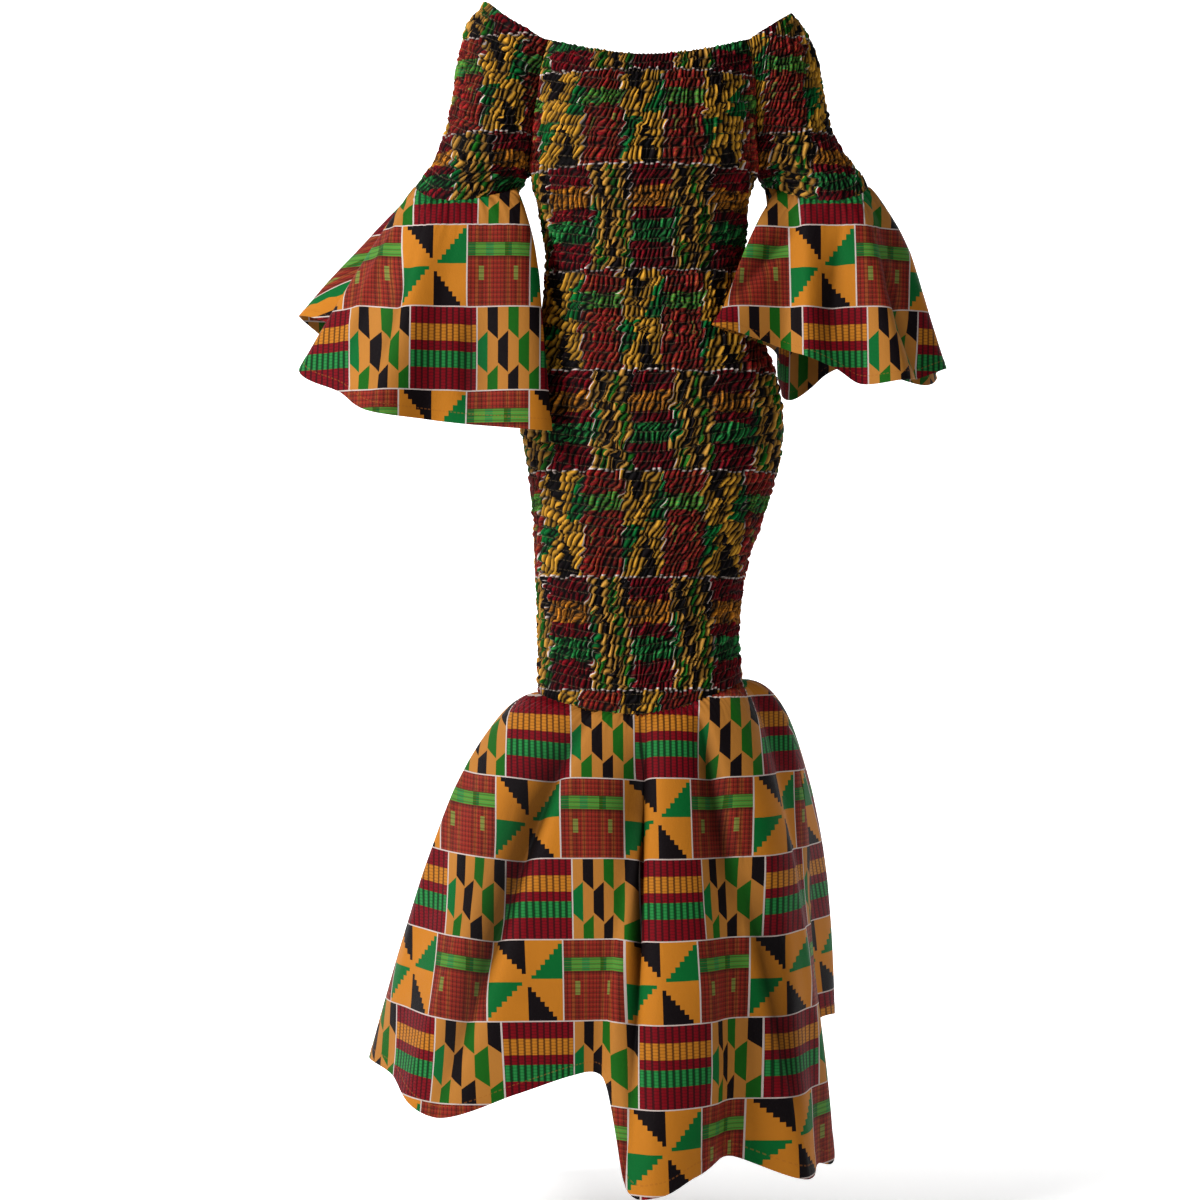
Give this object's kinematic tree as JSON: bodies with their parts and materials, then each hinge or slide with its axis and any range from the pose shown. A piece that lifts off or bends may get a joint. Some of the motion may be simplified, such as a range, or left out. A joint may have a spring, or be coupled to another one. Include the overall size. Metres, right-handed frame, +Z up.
{
  "type": "off-shoulder mermaid dress in printed cotton",
  "caption": "Off-shoulder dress of smocked printed cotton, worn with nobody in it, with flared bell cuffs and a full flounce at the knee.",
  "frame": {"origin": "the middle of the bust, between the front and the back, where the wearer's body holds the dress", "axes": "+Z up along the body, front towards -Y, the wearer's right arm towards -X"},
  "size_m": [0.7772, 0.5437, 1.3758],
  "materials": {
    "smocked_cotton": "wax-printed cotton gathered on rows of elastic thread, puckered and matt, with a faint wax sheen on the crests",
    "printed_cotton": "smooth plain-woven cotton printed in orange, maroon, green and black blocks, with a soft wax sheen"
  },
  "bodies": {
    "root": {"bodice_front": "smocked_cotton", "bodice_back": "smocked_cotton", "sleeve_right": "smocked_cotton", "sleeve_left": "smocked_cotton", "bell_right": "printed_cotton", "bell_left": "printed_cotton", "flounce_front": "printed_cotton", "flounce_back": "printed_cotton"}
  },
  "joints": []
}
